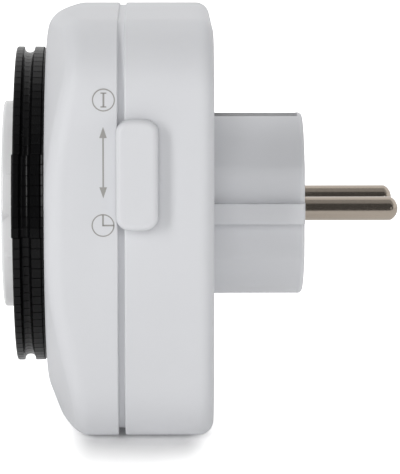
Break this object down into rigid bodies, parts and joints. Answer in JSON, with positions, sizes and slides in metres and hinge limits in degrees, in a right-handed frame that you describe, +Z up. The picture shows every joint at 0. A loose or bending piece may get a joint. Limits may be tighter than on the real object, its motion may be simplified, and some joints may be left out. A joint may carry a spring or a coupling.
{
  "type": "plug in timer switch",
  "caption": "White mechanical plug-in timer: black dial ring of push-in tappets round an earthed socket, a sliding override button on the side, and a round earthed plug behind.",
  "frame": {"origin": "on the common axis of plug, dial and socket, in the plane of the casing's rear face", "axes": "+X along the plug pins, away from the dial; +Z up; +Y across the casing, away from the side with the override button"},
  "size_m": [0.0796, 0.0793, 0.0825],
  "materials": {
    "housing_plastic": "fine moulded satin, cool white",
    "insert_plastic": "smooth moulded, white",
    "dial_plastic": "moulded, near black",
    "tappet_plastic": "moulded, near black, satin",
    "button_plastic": "moulded satin, cool white",
    "nickel_pin": "nickel plated, turned",
    "contact_brass": "pressed sheet",
    "earth_metal": "nickel plated spring strip",
    "spring_steel": "bright spring strip",
    "screw_steel": "zinc plated",
    "inner_plastic": "moulded, dark grey",
    "gear_plastic": "moulded acetal, natural white",
    "shutter_plastic": "moulded, white",
    "motor_steel": "drawn sheet",
    "coil_wire": "enamelled copper winding"
  },
  "bodies": {
    "casing": {"rear_housing": "housing_plastic", "front_cover": "housing_plastic", "casing_screws": "screw_steel", "socket_insert": "insert_plastic", "idler_axle": "screw_steel", "mechanism_plate": "inner_plastic", "plate_screws": "screw_steel", "motor_can": "motor_steel", "motor_coil": "coil_wire", "pin_carrier": "inner_plastic", "contact_carrier": "inner_plastic", "shutter_spring": "spring_steel", "neutral_bus": "contact_brass", "live_bus": "contact_brass", "live_link": "contact_brass", "earth_bracket": "earth_metal", "switch_base": "inner_plastic", "detent_spring": "spring_steel", "live_pin": "nickel_pin", "neutral_pin": "nickel_pin", "live_socket_contact": "contact_brass", "neutral_socket_contact": "contact_brass"},
    "dial": {"dial": "dial_plastic"},
    "idler": {"idler_gear": "gear_plastic"},
    "motor_shaft": {"motor_rotor": "motor_steel"},
    "override": {"override_slider": "button_plastic"},
    "shutter_plate": {"shutter": "shutter_plastic"},
    "follower": {"follower_lever": "gear_plastic"},
    "moving_contact": {"contact_arm": "contact_brass"},
    "tappets_hour_00": {"tappets_hour_00": "tappet_plastic"},
    "tappets_hour_01": {"tappets_hour_01": "tappet_plastic"},
    "tappets_hour_02": {"tappets_hour_02": "tappet_plastic"},
    "tappets_hour_03": {"tappets_hour_03": "tappet_plastic"},
    "tappets_hour_04": {"tappets_hour_04": "tappet_plastic"},
    "tappets_hour_05": {"tappets_hour_05": "tappet_plastic"},
    "tappets_hour_06": {"tappets_hour_06": "tappet_plastic"},
    "tappets_hour_07": {"tappets_hour_07": "tappet_plastic"},
    "tappets_hour_08": {"tappets_hour_08": "tappet_plastic"},
    "tappets_hour_09": {"tappets_hour_09": "tappet_plastic"},
    "tappets_hour_10": {"tappets_hour_10": "tappet_plastic"},
    "tappets_hour_11": {"tappets_hour_11": "tappet_plastic"},
    "tappets_hour_12": {"tappets_hour_12": "tappet_plastic"},
    "tappets_hour_13": {"tappets_hour_13": "tappet_plastic"},
    "tappets_hour_14": {"tappets_hour_14": "tappet_plastic"},
    "tappets_hour_15": {"tappets_hour_15": "tappet_plastic"},
    "tappets_hour_16": {"tappets_hour_16": "tappet_plastic"},
    "tappets_hour_17": {"tappets_hour_17": "tappet_plastic"},
    "tappets_hour_18": {"tappets_hour_18": "tappet_plastic"},
    "tappets_hour_19": {"tappets_hour_19": "tappet_plastic"},
    "tappets_hour_20": {"tappets_hour_20": "tappet_plastic"},
    "tappets_hour_21": {"tappets_hour_21": "tappet_plastic"},
    "tappets_hour_22": {"tappets_hour_22": "tappet_plastic"},
    "tappets_hour_23": {"tappets_hour_23": "tappet_plastic"}
  },
  "joints": [
    {"name": "dial_spin", "type": "hinge", "parent": "casing", "child": "dial", "pos_m": [-0.032, 0, 0], "axis": [1, 0, 0], "continuous": true},
    {"name": "override_slide", "type": "slide", "parent": "casing", "child": "override", "axis": [0, 0, 1], "range_m": [0, 0.0052]},
    {"name": "shutter_slide", "type": "slide", "parent": "casing", "child": "shutter_plate", "axis": [0, 0, 1], "range_m": [0, 0.0064], "stiffness_N_per_m": 100, "springref_m": -0.001, "deforming": ["shutter_spring"]},
    {"name": "follower_rock", "type": "hinge", "parent": "casing", "child": "follower", "pos_m": [-0.022, -0.032, -0.016], "axis": [0, 1, 0], "range_deg": [-7.5, 0]},
    {"name": "contact_close", "type": "hinge", "parent": "casing", "child": "moving_contact", "pos_m": [-0.019, -0.031, 0.021], "axis": [0, -1, 0], "range_deg": [-5.5, 0]},
    {"name": "idler_spin", "type": "hinge", "parent": "casing", "child": "idler", "pos_m": [-0.025, 0.02014, -0.02487], "axis": [1, 0, 0], "continuous": true},
    {"name": "motor_spin", "type": "hinge", "parent": "casing", "child": "motor_shaft", "pos_m": [-0.02, 0.01081, -0.0307], "axis": [1, 0, 0], "continuous": true},
    {"name": "tappets_hour_00_press", "type": "slide", "parent": "dial", "child": "tappets_hour_00", "axis": [1, 0, 0], "range_m": [0, 0.003]},
    {"name": "tappets_hour_01_press", "type": "slide", "parent": "dial", "child": "tappets_hour_01", "axis": [1, 0, 0], "range_m": [0, 0.003]},
    {"name": "tappets_hour_02_press", "type": "slide", "parent": "dial", "child": "tappets_hour_02", "axis": [1, 0, 0], "range_m": [0, 0.003]},
    {"name": "tappets_hour_03_press", "type": "slide", "parent": "dial", "child": "tappets_hour_03", "axis": [1, 0, 0], "range_m": [0, 0.003]},
    {"name": "tappets_hour_04_press", "type": "slide", "parent": "dial", "child": "tappets_hour_04", "axis": [1, 0, 0], "range_m": [0, 0.003]},
    {"name": "tappets_hour_05_press", "type": "slide", "parent": "dial", "child": "tappets_hour_05", "axis": [1, 0, 0], "range_m": [0, 0.003]},
    {"name": "tappets_hour_06_press", "type": "slide", "parent": "dial", "child": "tappets_hour_06", "axis": [1, 0, 0], "range_m": [0, 0.003]},
    {"name": "tappets_hour_07_press", "type": "slide", "parent": "dial", "child": "tappets_hour_07", "axis": [1, 0, 0], "range_m": [0, 0.003]},
    {"name": "tappets_hour_08_press", "type": "slide", "parent": "dial", "child": "tappets_hour_08", "axis": [1, 0, 0], "range_m": [0, 0.003]},
    {"name": "tappets_hour_09_press", "type": "slide", "parent": "dial", "child": "tappets_hour_09", "axis": [1, 0, 0], "range_m": [0, 0.003]},
    {"name": "tappets_hour_10_press", "type": "slide", "parent": "dial", "child": "tappets_hour_10", "axis": [1, 0, 0], "range_m": [0, 0.003]},
    {"name": "tappets_hour_11_press", "type": "slide", "parent": "dial", "child": "tappets_hour_11", "axis": [1, 0, 0], "range_m": [0, 0.003]},
    {"name": "tappets_hour_12_press", "type": "slide", "parent": "dial", "child": "tappets_hour_12", "axis": [1, 0, 0], "range_m": [0, 0.003]},
    {"name": "tappets_hour_13_press", "type": "slide", "parent": "dial", "child": "tappets_hour_13", "axis": [1, 0, 0], "range_m": [0, 0.003]},
    {"name": "tappets_hour_14_press", "type": "slide", "parent": "dial", "child": "tappets_hour_14", "axis": [1, 0, 0], "range_m": [0, 0.003]},
    {"name": "tappets_hour_15_press", "type": "slide", "parent": "dial", "child": "tappets_hour_15", "axis": [1, 0, 0], "range_m": [0, 0.003]},
    {"name": "tappets_hour_16_press", "type": "slide", "parent": "dial", "child": "tappets_hour_16", "axis": [1, 0, 0], "range_m": [0, 0.003]},
    {"name": "tappets_hour_17_press", "type": "slide", "parent": "dial", "child": "tappets_hour_17", "axis": [1, 0, 0], "range_m": [0, 0.003]},
    {"name": "tappets_hour_18_press", "type": "slide", "parent": "dial", "child": "tappets_hour_18", "axis": [1, 0, 0], "range_m": [0, 0.003]},
    {"name": "tappets_hour_19_press", "type": "slide", "parent": "dial", "child": "tappets_hour_19", "axis": [1, 0, 0], "range_m": [0, 0.003]},
    {"name": "tappets_hour_20_press", "type": "slide", "parent": "dial", "child": "tappets_hour_20", "axis": [1, 0, 0], "range_m": [0, 0.003]},
    {"name": "tappets_hour_21_press", "type": "slide", "parent": "dial", "child": "tappets_hour_21", "axis": [1, 0, 0], "range_m": [0, 0.003]},
    {"name": "tappets_hour_22_press", "type": "slide", "parent": "dial", "child": "tappets_hour_22", "axis": [1, 0, 0], "range_m": [0, 0.003]},
    {"name": "tappets_hour_23_press", "type": "slide", "parent": "dial", "child": "tappets_hour_23", "axis": [1, 0, 0], "range_m": [0, 0.003]}
  ],
  "couplings": [
    {"joint": "idler_spin", "follows": "dial_spin", "ratio": -7},
    {"joint": "motor_spin", "follows": "dial_spin", "ratio": 31.5},
    {"joint": "contact_close", "follows": "follower_rock", "ratio": 0.7}
  ]
}
